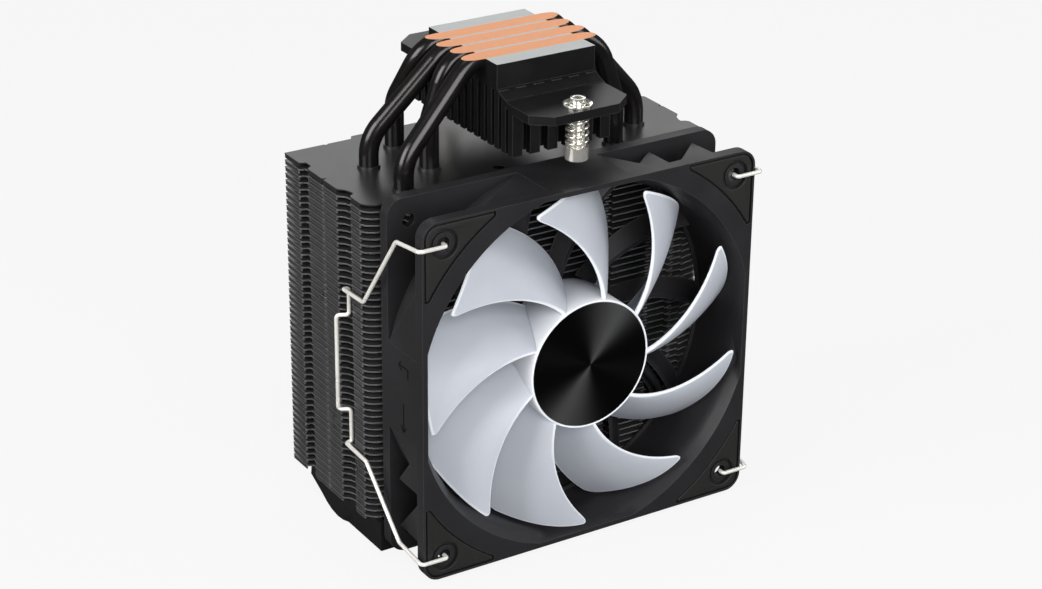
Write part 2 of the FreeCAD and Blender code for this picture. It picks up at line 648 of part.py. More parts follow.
SCREW_R, HEAD_R, HEAD_Z0, HEAD_Z1, HEAD_CHAMFER = 2.35, 3.65, 65.1, 69.5, 0.35
SLOT_HALF_W, SLOT_HALF_L, SLOT_DEPTH = 0.55, 2.4, 1.8
NUT_END_Z, NUT_BORE_R, NUT_BORE_L = 84.9, 1.25, 9.0
GROOVE_R, GROOVE_W = 1.75, 0.7
ECLIP_R, ECLIP_BORE_R, ECLIP_T, ECLIP_CLEAR = 4.5, 1.8, 0.6, 0.05
ECLIP_MOUTH_HALF, LOBE_R, LOBE_AT_R = 1.45, 1.15, 2.75
ECLIP_OPEN = 58.0
SPRING_Z0, SPRING_Z1 = 70.15, 79.0
SPRING_MEAN_R, SPRING_WIRE_R, SPRING_TURNS = 3.2, 0.5, 4.6
SPRING_STEPS, SPRING_SIDES = 14, 8      # sections per turn, sides of each section


def screw(y):
    """Cross-slotted head at the bottom, grooved shank with a bore in its upper end."""
    shape = cyl_z(HEAD_R, HEAD_Z0, HEAD_Z1, 0, y)
    shape = shape.makeChamfer(HEAD_CHAMFER, [
        e for e in shape.Edges if e.Length > 10 and abs(e.valueAt(0).z - HEAD_Z0) < 0.01])
    shape = shape.fuse(cyl_z(SCREW_R, HEAD_Z1 - 0.1, NUT_END_Z, 0, y))
    for dx, dy in ((SLOT_HALF_W, SLOT_HALF_L), (SLOT_HALF_L, SLOT_HALF_W)):
        shape = shape.cut(box(-dx, dx, y - dy, y + dy, HEAD_Z0 - 1, HEAD_Z0 + SLOT_DEPTH))
    shape = shape.cut(cyl_z(NUT_BORE_R, NUT_END_Z - NUT_BORE_L, NUT_END_Z + 1, 0, y))
    groove = cyl_z(3.5, EAR_TOP_Z, EAR_TOP_Z + GROOVE_W, 0, y)
    return shape.cut(groove.cut(cyl_z(GROOVE_R, 82, 84, 0, y))).removeSplitter()


def e_clip(y, turn):
    """Drawn open towards -Y, then turned about the screw."""
    z0 = EAR_TOP_Z + ECLIP_CLEAR
    shape = cyl_z(ECLIP_R, z0, z0 + ECLIP_T, 0, y).cut(cyl_z(ECLIP_BORE_R, 82, 84, 0, y))
    shape = shape.cut(box(-ECLIP_MOUTH_HALF, ECLIP_MOUTH_HALF, y - 6, y, 82, 84))
    for degrees in (150, 270, 390):
        angle = math.radians(degrees)
        shape = shape.cut(cyl_z(LOBE_R, 82, 84, LOBE_AT_R * math.cos(angle),
                                y + LOBE_AT_R * math.sin(angle)))
    shape.rotate(Vector(0, y, 0), Z_AXIS, turn)
    return shape


def spring(y):
    """Faceted helical tube: sections square to the helix, joined by triangles."""
    count = int(SPRING_TURNS * SPRING_STEPS)
    rise = (SPRING_Z1 - SPRING_Z0) / count
    turn = 2 * math.pi * SPRING_TURNS / count
    slope = math.atan2(rise, SPRING_MEAN_R * turn)
    corners = [2 * math.pi * k / SPRING_SIDES for k in range(SPRING_SIDES)]
    rings = []
    for i in range(count + 1):
        angle = i * turn
        out = Vector(math.cos(angle), math.sin(angle), 0)
        up = Vector(math.sin(angle) * math.sin(slope), -math.cos(angle) * math.sin(slope),
                    math.cos(slope))
        centre = Vector(0, y, SPRING_Z0 + rise * i) + out * SPRING_MEAN_R
        rings.append([centre + (out * math.cos(c) + up * math.sin(c)) * SPRING_WIRE_R
                      for c in corners])
    faces = [flat(rings[0]), flat(rings[-1])]
    for ring, after in zip(rings, rings[1:]):
        for k in range(SPRING_SIDES):
            m = (k + 1) % SPRING_SIDES
            faces += two_triangles(ring[k], ring[m], after[m], after[k])
    return solid_of(faces)


for name, end, turn in (("front", -1, ECLIP_OPEN + 90), ("rear", 1, ECLIP_OPEN + 270)):
    screw_y = CONTACT_Y + end * SCREW_OFFSET
    export("screw_" + name, screw(screw_y))
    export("e_clip_" + name, e_clip(screw_y, turn))
    export("spring_" + name, spring(screw_y))
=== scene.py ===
"""A tower heat-pipe cooler with a fan, standing on its end cap.

+Z is up: the milled contact face of the base is at the top, near z = 0, and the floor is at the
underside of the end cap. The fan's axis runs along Y, and its front faces -Y. Left is -X.
"""

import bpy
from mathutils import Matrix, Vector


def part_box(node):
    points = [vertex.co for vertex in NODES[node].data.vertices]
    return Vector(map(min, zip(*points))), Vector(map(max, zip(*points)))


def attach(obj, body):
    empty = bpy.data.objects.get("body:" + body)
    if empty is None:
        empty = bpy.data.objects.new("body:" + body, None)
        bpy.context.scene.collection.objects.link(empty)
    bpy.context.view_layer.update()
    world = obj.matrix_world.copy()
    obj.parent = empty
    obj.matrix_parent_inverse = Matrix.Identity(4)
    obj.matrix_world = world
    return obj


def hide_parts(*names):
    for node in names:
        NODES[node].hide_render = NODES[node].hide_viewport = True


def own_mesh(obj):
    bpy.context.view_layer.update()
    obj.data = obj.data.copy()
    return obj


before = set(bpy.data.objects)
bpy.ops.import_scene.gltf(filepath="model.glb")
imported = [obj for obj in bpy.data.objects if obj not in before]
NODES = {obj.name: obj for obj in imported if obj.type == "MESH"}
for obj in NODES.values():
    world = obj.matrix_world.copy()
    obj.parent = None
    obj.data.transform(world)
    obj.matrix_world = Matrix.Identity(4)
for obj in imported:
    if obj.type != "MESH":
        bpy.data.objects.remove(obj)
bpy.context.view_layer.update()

import math

import bmesh
import bpy
import numpy as np
from mathutils import Matrix, Vector

MM = 0.001
scene = bpy.context.scene

# Where the parts are, from the frame itself.
disc_lo, disc_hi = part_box("hub_disc")
FAN_X = (disc_lo.x + disc_hi.x) / 2
FAN_Z = (disc_lo.z + disc_hi.z) / 2
FAN_Y = disc_lo.y - 0.25 * MM          # plane of the fan's front face
FLOOR_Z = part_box("end_cap")[0].z


def fan_point(x, y, z):
    """Fan-centred millimetres to the frame's metres."""
    return Vector((FAN_X + x * MM, FAN_Y + y * MM, FAN_Z + z * MM))


# ------------------------------------------------------------ shader graph

def rgb(red, green, blue):
    return (red, green, blue, 1.0)


def grey(value):
    return rgb(value, value, value)


def shade(color, factor):
    """A colour made darker or lighter, held to 1."""
    return rgb(*[min(1.0, c * factor) for c in color])


class Graph:
    """A new material and short calls that add nodes to it. Each returns an output socket."""

    def __init__(self, name):
        self.material = bpy.data.materials.new(name)
        self.material.use_nodes = True
        self.tree = self.material.node_tree
        self.tree.nodes.clear()
        self.out = self.add("ShaderNodeOutputMaterial")
        self.coord = self.add("ShaderNodeTexCoord")

    def add(self, kind, **props):
        node = self.tree.nodes.new(kind)
        for key, value in props.items():
            setattr(node, key, value)
        return node

    def link(self, source, target):
        self.tree.links.new(source, target)

    def set(self, node, key, value):
        """Links a socket, or stores a plain value."""
        if isinstance(value, bpy.types.NodeSocket):
            self.link(value, node.inputs[key])
        else:
            node.inputs[key].default_value = value

    def math(self, operation, a, b):
        node = self.add("ShaderNodeMath", operation=operation)
        self.set(node, 0, a)
        self.set(node, 1, b)
        return node.outputs[0]

    def vmath(self, operation, a, b=None):
        node = self.add("ShaderNodeVectorMath", operation=operation)
        self.set(node, 0, a)
        if b is not None:
            self.set(node, 1, b)
        return node.outputs["Value" if operation in ("DOT_PRODUCT", "LENGTH") else 0]

    def scaled(self, scale):
        """Object coordinates times one scale, or one per axis."""
        node = self.add("ShaderNodeMapping")
        self.link(self.coord.outputs["Object"], node.inputs["Vector"])
        per_axis = scale if hasattr(scale, "__len__") else (scale, scale, scale)
        node.inputs["Scale"].default_value = per_axis
        return node.outputs[0]

    def noise(self, scale=None, detail=3.0, rough=0.55, vector=None):
        """Noise over scaled object coordinates, or over the vector given."""
        node = self.add("ShaderNodeTexNoise")
        self.link(vector or self.scaled(scale), node.inputs["Vector"])
        node.inputs["Scale"].default_value = 1.0
        node.inputs["Detail"].default_value = detail
        node.inputs["Roughness"].default_value = rough
        return node.outputs["Fac"]

    def ramp(self, fac, low, high, start=0.0, end=1.0):
        """Maps start..end to low..high."""
        node = self.add("ShaderNodeMapRange")
        self.set(node, "Value", fac)
        node.inputs["From Min"].default_value = start
        node.inputs["From Max"].default_value = end
        self.set(node, "To Min", low)
        self.set(node, "To Max", high)
        return node.outputs[0]

    def mix(self, fac, a, b):
        node = self.add("ShaderNodeMix", data_type="RGBA")
        for key, value in ((0, fac), (6, a), (7, b)):
            self.set(node, key, value)
        return node.outputs[2]

    def mix_float(self, fac, a, b):
        node = self.add("ShaderNodeMix", data_type="FLOAT")
        for key, value in ((0, fac), (2, a), (3, b)):
            self.set(node, key, value)
        return node.outputs[0]

    def tone(self, fac, a, b, start=0.3, end=0.7):
        """Colour from a to b as fac goes from start to end."""
        return self.mix(self.ramp(fac, 0.0, 1.0, start, end), a, b)

    def bump(self, height, strength, distance=0.0001):
        node = self.add("ShaderNodeBump")
        self.set(node, "Height", height)
        node.inputs["Strength"].default_value = strength
        node.inputs["Distance"].default_value = distance
        return node.outputs[0]

    def edge(self, radius_mm):
        """Mask for painted edge highlights: 0 on flat ground, 1 on a convex or concave edge."""
        bevel = self.add("ShaderNodeBevel", samples=4)
        bevel.inputs["Radius"].default_value = radius_mm * MM
        geometry = self.add("ShaderNodeNewGeometry")
        facing = self.vmath("DOT_PRODUCT", bevel.outputs[0], geometry.outputs["Normal"])
        return self.ramp(self.math("SUBTRACT", 1.0, facing), low=0.0, high=1.0,
                         start=0.02, end=0.16)

    def up_and_down(self, coordinate):
        """The z part of a texture coordinate."""
        node = self.add("ShaderNodeSeparateXYZ")
        self.link(self.coord.outputs[coordinate], node.inputs[0])
        return node.outputs[2]

    def contact_face(self, min_z, min_normal_z):
        """1 on the upward face at the top, 0 elsewhere."""
        high = self.math("GREATER_THAN", self.up_and_down("Object"), min_z)
        upward = self.math("GREATER_THAN", self.up_and_down("Normal"), min_normal_z)
        return self.math("MULTIPLY", high, upward)

    def milling(self):
        """Fine milling lines that run along X."""
        return self.noise((90.0, 6500.0, 90.0), detail=2.0)

    def bsdf(self, **inputs):
        """Principled shader. An underscore in a keyword stands for a space in the input's name."""
        node = self.add("ShaderNodeBsdfPrincipled")
        for key, value in inputs.items():
            self.set(node, key.replace("_", " "), value)
        return node

    def done(self, shader):
        self.link(shader.outputs[0], self.out.inputs["Surface"])
        return self.material


# --------------------------------------------------------------- materials

def surface(name, color, rough, metal=0.0, grain=1800.0, grain_bump=0.12, vary=0.12,
            rough_vary=0.07, coat=0.0, spec=0.5, tint=None, edge=None):
    """A moulded or coated surface: grain in the bump, slow variation in colour and roughness.

    tint replaces color at the light end; the last argument is (radius in mm, grey value of the
    painted edge highlight).
    """
    g = Graph(name)
    slow = g.noise(60.0, detail=4.0)
    fine = g.noise(grain, detail=2.0)
    col = g.tone(slow, shade(color, 1 - vary), shade(tint or color, 1 + vary))
    specks = g.ramp(fine, low=0.0, high=0.35, start=0.35, end=0.75)
    col = g.mix(specks, col, shade(color, 1.25))
    # Painted edge highlight: the colour is mixed toward a lighter grey along edges
    if edge:
        radius_mm, highlight_grey = edge
        col = g.mix(g.edge(radius_mm), col, grey(highlight_grey))
    slow_rough = g.ramp(slow, rough - rough_vary, rough + rough_vary, start=0.25, end=0.75)
    return g.done(g.bsdf(
        Base_Color=col, Roughness=g.math("ADD", slow_rough, g.ramp(fine, low=-0.03, high=0.03)),
        Metallic=metal, Coat_Weight=coat, Coat_Roughness=0.15, Specular_IOR_Level=spec,
        Normal=g.bump(fine, grain_bump)))


def metal(name, color, rough, axis, line_bump=0.08, vary=0.06, amount=1.0):
    """Bare or plated metal: slight smudges, and lines drawn along one axis (0, 1 or 2)."""
    across = 3000.0
    g = Graph(name)
    smudge = g.noise(140.0, detail=5.0, rough=0.6)
    scale = [across] * 3
    scale[axis] = across / 60
    streak = g.noise(tuple(scale), detail=2.0)
    slow_rough = g.ramp(smudge, rough * 0.75, rough * 1.3, start=0.3, end=0.7)
    return g.done(g.bsdf(
        Base_Color=g.tone(smudge, shade(color, 1 - vary), shade(color, 1 + vary)),
        Roughness=g.math("ADD", slow_rough, g.ramp(streak, low=-0.03, high=0.03)),
        Metallic=amount, Normal=g.bump(streak, line_bump, distance=0.00005)))


def base_material():
    """Black satin aluminium with a milled, bare contact face."""
    g = Graph("base_black_milled")
    face = g.contact_face(min_z=-0.00012, min_normal_z=0.35)
    slow = g.noise(70.0, detail=4.0)
    fine = g.noise(2600.0, detail=2.0)
    mill = g.milling()
    black = g.tone(slow, rgb(0.0062, 0.0062, 0.0066), rgb(0.0105, 0.0105, 0.0110))
    bare = g.tone(mill, rgb(0.47, 0.49, 0.49), rgb(0.57, 0.59, 0.59))
    # Lighter edges: a painted edge highlight that also stands for edge wear
    edge_highlight_and_wear = g.mix(face, rgb(0.075, 0.075, 0.077), rgb(0.80, 0.82, 0.82))
    rough = g.mix_float(face, g.ramp(slow, low=0.33, high=0.43), g.ramp(mill, low=0.34, high=0.5))
    height = g.mix_float(face, g.math("MULTIPLY", fine, 0.6), mill)
    return g.done(g.bsdf(
        Base_Color=g.mix(g.edge(radius_mm=0.3), g.mix(face, black, bare), edge_highlight_and_wear),
        Roughness=rough, Metallic=g.mix_float(face, 0.35, 1.0),
        Normal=g.bump(height, strength=0.1)))


def pipe_material():
    """Black nickel plating, milled to bare copper on the contact face."""
    g = Graph("pipe_black_nickel")
    face = g.contact_face(min_z=-0.00006, min_normal_z=0.9)
    slow = g.noise(160.0, detail=4.0)
    mill = g.milling()
    dark = g.tone(slow, rgb(0.012, 0.0108, 0.0110), rgb(0.018, 0.0160, 0.0152))
    copper = g.tone(mill, rgb(0.78, 0.33, 0.150), rgb(0.88, 0.42, 0.21), start=0.25, end=0.75)
    rough = g.mix_float(face, g.ramp(slow, low=0.21, high=0.25), g.ramp(mill, low=0.36, high=0.5))
    height = g.mix_float(face, g.math("MULTIPLY", slow, 0.5), mill)
    return g.done(g.bsdf(
        Base_Color=g.mix(face, dark, copper), Roughness=rough,
        Metallic=g.mix_float(face, 0.6, 0.9), Coat_Weight=g.mix_float(face, 0.18, 0.0),
        Coat_Roughness=0.12, Normal=g.bump(height, strength=0.03)))


def hub_material():
    """Black disc, spun so that its fine rings draw light into radial fans; pale wedges of painted
    sheen are mixed into its colour.
    """
    drop_y = (1.0, 0.0, 1.0)
    painted_sheen_direction = (0.36, 0.0, 0.933)   # across the disc, along the pale wedges of painted sheen
    painted_sheen_sharpness = 14.0
    rings_per_metre = 9000.0
    g = Graph("hub_spun_black")
    offset = g.vmath("SUBTRACT", g.coord.outputs["Object"], (FAN_X, FAN_Y, FAN_Z))
    around = g.vmath("CROSS_PRODUCT", offset, (0.0, 1.0, 0.0))
    tangent = g.add("ShaderNodeVectorTransform", vector_type="VECTOR", convert_from="OBJECT",
                    convert_to="WORLD")
    g.link(around, tangent.inputs[0])
    radius = g.vmath("LENGTH", g.vmath("MULTIPLY", offset, drop_y))
    combine = g.add("ShaderNodeCombineXYZ")
    g.link(g.math("MULTIPLY", radius, rings_per_metre), combine.inputs[0])
    rings = g.noise(detail=2.0, vector=combine.outputs[0])
    col = g.tone(rings, rgb(0.006, 0.006, 0.0063), rgb(0.011, 0.011, 0.0114))
    outward = g.vmath("NORMALIZE", g.vmath("MULTIPLY", offset, drop_y))
    along = g.math_abs = g.vmath("DOT_PRODUCT", outward, painted_sheen_direction)
    absolute = g.add("ShaderNodeMath", operation="ABSOLUTE")
    g.link(along, absolute.inputs[0])
    painted_sheen_mask = g.math("POWER", absolute.outputs[0], painted_sheen_sharpness)
    return g.done(g.bsdf(
        # Painted sheen: pale radial wedges in the base colour, fixed on the disc
        Base_Color=g.mix(painted_sheen_mask, col, rgb(0.20, 0.20, 0.202)),
        Roughness=g.ramp(rings, low=0.26, high=0.34), Metallic=0.9, Anisotropic=0.97,
        Normal=g.bump(rings, strength=0.06, distance=0.00005), Tangent=tangent.outputs[0]))


def blade_material():
    """Milky moulded plastic: light comes through, and the thin rims carry a painted highlight that
    glows.
    """
    g = Graph("blade_milky")
    painted_rim_glow = g.add("ShaderNodeAttribute", attribute_name="painted_rim_glow").outputs["Fac"]
    slow = g.noise(45.0)
    fine = g.noise(2400.0, detail=2.0)
    body = g.tone(slow, rgb(0.565, 0.595, 0.65), rgb(0.615, 0.64, 0.69))
    # Painted highlight: the rims pale to white and glow by emission
    col = g.tone(painted_rim_glow, body, rgb(0.97, 0.98, 1.0), start=0.0, end=1.0)
    opaque = g.bsdf(
        Base_Color=col, Roughness=g.ramp(slow, low=0.36, high=0.48), Specular_IOR_Level=0.45,
        Emission_Color=rgb(0.93, 0.96, 1.0), Emission_Strength=g.math("MULTIPLY", painted_rim_glow, 0.24),
        Normal=g.bump(fine, strength=0.04))
    translucent = g.add("ShaderNodeBsdfTranslucent")
    g.link(col, translucent.inputs["Color"])
    both = g.add("ShaderNodeMixShader")
    both.inputs[0].default_value = 0.28   # share of light let through
    g.link(opaque.outputs[0], both.inputs[1])
    g.link(translucent.outputs[0], both.inputs[2])
    return g.done(both)


def rubber_material(name, color):
    """Dark matt rubber with a trace of pale dust."""
    g = Graph(name)
    fine = g.noise(3200.0)
    slow = g.noise(90.0, detail=4.0)
    dust = g.ramp(g.noise(600.0, detail=6.0, rough=0.7), low=0.0, high=1.0, start=0.62, end=0.8)
    col = g.tone(slow, shade(color, 0.85), shade(color, 1.15))
    col = g.mix(g.math("MULTIPLY", dust, 0.1), col, rgb(0.25, 0.24, 0.22))
    return g.done(g.bsdf(
        Base_Color=col, Roughness=g.ramp(fine, low=0.55, high=0.72), Sheen_Weight=0.04,
        Sheen_Roughness=0.4, Normal=g.bump(fine, strength=0.12)))


def board_material():
    """Green solder mask over raised tracks."""
    g = Graph("board_green_mask")
    cells = g.add("ShaderNodeTexVoronoi", feature="DISTANCE_TO_EDGE")
    g.link(g.scaled(420.0), cells.inputs["Vector"])
    track = g.ramp(cells.outputs[0], low=1.0, high=0.0, start=0.02, end=0.06)
    return g.done(g.bsdf(
        Base_Color=g.mix(track, rgb(0.01, 0.09, 0.035), rgb(0.03, 0.19, 0.08)),
        Roughness=0.3, Coat_Weight=0.4, Normal=g.bump(track, strength=0.2, distance=0.00005)))


def coil_material():
    """Enamelled copper wire in diagonal bands."""
    g = Graph("winding_enamel")
    wave = g.add("ShaderNodeTexWave", wave_type="BANDS", bands_direction="DIAGONAL")
    g.link(g.scaled(900.0), wave.inputs["Vector"])
    wires = wave.outputs["Fac"]
    return g.done(g.bsdf(
        Base_Color=g.mix(wires, rgb(0.30, 0.10, 0.03), rgb(0.85, 0.38, 0.14)),
        Roughness=0.3, Metallic=0.8, Coat_Weight=0.5,
        Normal=g.bump(wires, strength=0.6, distance=0.0002)))


MATERIALS = {
    "base": base_material(),
    "pipe": pipe_material(),
    # The fins' edges are painted lighter as a highlight.
    "fin": surface("fin_black_anodised", color=(0.056, 0.056, 0.0568), rough=0.32, metal=0.45,
                   grain=2200.0, grain_bump=0.05, vary=0.15, edge=(0.22, 0.62)),
    "fin_top": surface("fin_top_anodised", color=(0.018, 0.018, 0.018), rough=0.33, metal=0.2,
                       grain=2600.0, grain_bump=0.03, vary=0.06, rough_vary=0.02, spec=0.8),
    "cap": surface("cap_anodised", color=(0.0075, 0.0075, 0.0078), rough=0.40, metal=0.2,
                   grain=2000.0, grain_bump=0.05),
    # The frame's edges are painted lighter as a highlight.
    "frame": surface("frame_plastic", color=(0.0145, 0.0138, 0.0150), rough=0.46, grain=2600.0,
                     grain_bump=0.18, vary=0.08, spec=0.42, tint=(0.0145, 0.0132, 0.0150),
                     edge=(0.35, 0.050)),
    "mark": surface("frame_mark", color=(0.0030, 0.0030, 0.0031), rough=0.6, grain=2600.0,
                    grain_bump=0.1, vary=0.08, spec=0.2),
    "pad": rubber_material("pad_rubber", color=(0.0080, 0.0075, 0.0066)),
    "blade": blade_material(),
    "hub": hub_material(),
    "steel": metal("steel_drawn", color=(0.40, 0.40, 0.41), rough=0.3, axis=1),
    "ferrite": surface("ferrite_sintered", color=(0.06, 0.06, 0.063), rough=0.62, grain=1500.0,
                       grain_bump=0.4, vary=0.2),
    "bronze": metal("bronze_sintered", color=(0.62, 0.42, 0.20), rough=0.4, axis=1,
                    line_bump=0.15),
    "coil": coil_material(),
    "board": board_material(),
    "led": surface("led_lens", color=(0.85, 0.83, 0.70), rough=0.2, grain=900.0,
                   grain_bump=0.05, coat=0.6),
    "cable": surface("cable_jacket", color=(0.012, 0.012, 0.013), rough=0.42, grain=1400.0,
                     grain_bump=0.15),
    "plug": surface("plug_plastic", color=(0.018, 0.018, 0.018), rough=0.5, grain=2400.0,
                    grain_bump=0.2),
    "nickel": metal("nickel_wire", color=(0.97, 0.94, 0.88), rough=0.30, axis=2,
                    line_bump=0.05, vary=0.05, amount=0.45),
    "nickel_part": metal("nickel_screw", color=(0.96, 0.93, 0.86), rough=0.10, axis=0,
                         line_bump=0.03, vary=0.05, amount=0.85),
}

# Material of each CAD node.
LOOK = {
    "base": ["base_block"],
    "pipe": ["heat_pipe_1", "heat_pipe_2", "heat_pipe_3", "heat_pipe_4"],
    "fin_top": ["fin_top"],
    "fin": ["cooling_fins"],
    "cap": ["end_cap"],
    "frame": ["fan_frame"],
    "cable": ["fan_cable"],
    "plug": ["fan_connector"],
    "pad": ["corner_pads_front", "corner_pads_rear"],
    "blade": ["impeller"],
    "hub": ["hub_disc"],
    "steel": ["rotor_yoke", "fan_shaft", "shaft_ring", "stator_core"],
    "ferrite": ["rotor_magnet"],
    "bronze": ["bearing_sleeve"],
    "coil": ["stator_coils"],
    "board": ["fan_circuit_board"],
    "led": ["fan_leds"],
    "nickel": ["clip_left", "clip_right", "spring_front", "spring_rear"],
    "nickel_part": ["screw_front", "screw_rear", "e_clip_front", "e_clip_rear"],
}
for key, names in LOOK.items():
    for name in names:
        mesh = NODES[name].data
        mesh.materials.clear()
        mesh.materials.append(MATERIALS[key])
        mesh.polygons.foreach_set("material_index", [0] * len(mesh.polygons))


# -------------------------------------------------------------- soft edges

def soften(name, width_mm):
    """Rounds a CAD node's sharp edges with modifiers; its own vertices stay as they are."""
    node = NODES[name]
    mesh = node.data
    if "custom_normal" in mesh.attributes:
        mesh.attributes.remove(mesh.attributes["custom_normal"])
    mesh.polygons.foreach_set("use_smooth", [True] * len(mesh.polygons))
    weld = node.modifiers.new("weld", "WELD")
    weld.merge_threshold = 2e-6
    bevel = node.modifiers.new("bevel", "BEVEL")
    bevel.width = width_mm * MM
    bevel.segments = 2
    bevel.limit_method = "ANGLE"
    bevel.angle_limit = math.radians(35.0)
    bevel.use_clamp_overlap = True
    bevel.miter_outer = "MITER_ARC"
    normals = node.modifiers.new("normals", "WEIGHTED_NORMAL")
    normals.keep_sharp = False
    normals.weight = 70


BEVEL_WIDTHS = {   # mm
    "base_block": 0.22, "fan_frame": 0.25, "corner_pads_front": 0.28, "corner_pads_rear": 0.25,
    "end_cap": 0.18, "hub_disc": 0.12, "screw_front": 0.12, "screw_rear": 0.12,
    "e_clip_front": 0.1, "e_clip_rear": 0.1, "fan_connector": 0.15,
}
for name, width in BEVEL_WIDTHS.items():
    soften(name, width)


# ----------------------------------------------------------- mesh building

def make_object(name, verts, faces, material, body, replaces=(), smooth=True):
    mesh = bpy.data.meshes.new(name)
    mesh.from_pydata([tuple(v) for v in verts], [], faces)
    mesh.validate()
    mesh.update()
    mesh.polygons.foreach_set("use_smooth", [smooth] * len(mesh.polygons))
    obj = bpy.data.objects.new(name, mesh)
    scene.collection.objects.link(obj)
    mesh.materials.append(MATERIALS[material])
    bm = bmesh.new()
    bm.from_mesh(mesh)
    bmesh.ops.recalc_face_normals(bm, faces=bm.faces)
    bm.to_mesh(mesh)
    bm.free()
    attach(obj, body)
    if replaces:
        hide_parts(*replaces)
    return obj


def tube_mesh(path, radius, sides):
    """Round tube along a list of Vectors, with chamfered ends."""
    start_dir = (path[1] - path[0]).normalized()
    end_dir = (path[-1] - path[-2]).normalized()
    end_radius, end_length = radius * 0.8, radius * 0.2
    stations = [(path[0], start_dir, end_radius),
                (path[0] + start_dir * end_length, start_dir, radius)]
    for i in range(1, len(path) - 1):
        stations.append((path[i], (path[i + 1] - path[i - 1]).normalized(), radius))
    stations += [(path[-1] - end_dir * end_length, end_dir, radius),
                 (path[-1], end_dir, end_radius)]

    verts, faces = [], []
    side = start_dir.orthogonal().normalized()
    previous = start_dir
    for centre, direction, ring_radius in stations:
        # Carry the side vector along so that the tube doesn't twist.
        side = previous.rotation_difference(direction) @ side
        side = (side - direction * side.dot(direction)).normalized()
        previous = direction
        other = direction.cross(side)
        for k in range(sides):
            a = 2 * math.pi * k / sides
            verts.append(centre + (side * math.cos(a) + other * math.sin(a)) * ring_radius)
    last = len(verts) - sides
    for ring in range(0, last, sides):
        for k in range(sides):
            m = (k + 1) % sides
            faces.append((ring + k, ring + m, ring + sides + m, ring + sides + k))
    faces.append(tuple(range(sides))[::-1])
    faces.append(tuple(range(last, last + sides)))
    return verts, faces


def lathe(profile, segments):
    """Ring about the fan's axis from a closed loop of (radius, y) points in mm."""
    verts, faces = [], []
    n = len(profile)
    for k in range(segments):
        a = 2 * math.pi * k / segments
        verts += [fan_point(r * math.cos(a), y, r * math.sin(a)) for r, y in profile]
    for k in range(segments):
        m = (k + 1) % segments
        for i in range(n):
            j = (i + 1) % n
            faces.append((k * n + i, k * n + j, m * n + j, m * n + i))
    return verts, faces


# ---------------------------------------------------------------- impeller
# Nine swept blades with rounded tips on a cup with a fine front ring. Fan-centred mm.
# Along a blade, t runs from the leading edge (0) to the trailing edge (1).

HUB_R, TIP_R, BLADES = 21.5, 57.2, 9
ROOT_R = 20.95            # blades start inside the cup's wall
CORNER_R = 3.4            # rounding of the tip's two corners
LEAD_RUN, TRAIL_RUN = 42.0, 46.0   # length per unit of t that sets each corner's run
EDGE_ROUND = 0.75         # width over which a blade thins to its edge
PAINTED_GLOW_WIDTH = 0.8           # width of the painted rim glow
ROOT_THICK, THIN_BY = 1.55, 0.55   # thickness at the root, and its loss by the tip
CUP_SEGMENTS = 160

# (radius, y): outer wall, rounded front lip, recess for the disc, hollow behind.
CUP_PROFILE = [
    (20.8, 1.4), (20.8, 0.45), (20.95, 0.24), (21.15, 0.2), (21.35, 0.28), (21.47, 0.45),
    (HUB_R, 0.7), (HUB_R, 18.8), (21.35, 19.1), (21.1, 19.2), (18.6, 19.2), (18.35, 19.05),
    (18.3, 18.8), (18.3, 3.4), (18.1, 3.2), (0.02, 3.2), (0.02, 1.4),
]


def edge_angles(r):
    """Leading and trailing edge angles in degrees at radius r."""
    return -42.6 + 0.97 * (r - HUB_R), -69.7 + 0.875 * (r - HUB_R)


def blade_point(r, t):
    """A point on the blade's middle surface."""
    f = (r - HUB_R) / (TIP_R - HUB_R)
    lead, trail = edge_angles(r)
    front_y, rear_y = 1.3 + 0.2 * f, 18.2 - 1.6 * f
    camber = 1.35 + 0.65 * f
    a = math.radians(lead + (trail - lead) * t)
    return np.array([r * math.cos(a), front_y + (rear_y - front_y) * t ** camber,
                     r * math.sin(a)])


def quarter_round(x):
    """Height of a unit quarter circle, from 0 at x = 0 to 1 at x = 1 and beyond."""
    return math.sqrt(max(0.0, 1 - (1 - min(x, 1.0)) ** 2))


def spaced(n, dense_start=True):
    """0..1 with extra points near the end, and near the start if wanted."""
    extra = np.array([0.006, 0.014, 0.026, 0.042])
    parts = [np.linspace(0, 1, n), 1 - extra]
    if dense_start:
        parts.append(extra)
    return np.unique(np.concatenate(parts))


def blade_grids():
    """Front and back surfaces of one blade, and how far each point is into the rim, as the weight
    of its painted glow.
    """
    chord_steps, span_steps = spaced(30), spaced(26, dense_start=False)
    shape = (len(span_steps), len(chord_steps))
    middle = np.zeros(shape + (3,))
    painted_rim_glow = np.zeros(shape)
    half_thick = np.zeros(shape)
    for j, t in enumerate(chord_steps):
        run = min(t, 1 - t) * (LEAD_RUN if t < 0.5 else TRAIL_RUN)
        tip = TIP_R - CORNER_R * (1 - quarter_round(run / CORNER_R))
        for i, u in enumerate(span_steps):
            r = ROOT_R + (tip - ROOT_R) * u
            middle[i, j] = blade_point(r, t)
            lead, trail = edge_angles(r)
            chord = math.radians(lead - trail) * r * 1.15   # lengthened for the blade's slope
            inset = min(t * chord, (1 - t) * chord, tip - r)
            full = ROOT_THICK - THIN_BY * (r - ROOT_R) / (TIP_R - ROOT_R)
            half_thick[i, j] = full / 2 * quarter_round(inset / EDGE_ROUND)
            painted_rim_glow[i, j] = max(0.0, 1 - inset / PAINTED_GLOW_WIDTH) ** 0.6
    normal = np.cross(np.gradient(middle, axis=0), np.gradient(middle, axis=1))
    normal /= np.linalg.norm(normal, axis=2, keepdims=True)
    offset = normal * half_thick[..., None]
    return middle - offset, middle + offset, painted_rim_glow


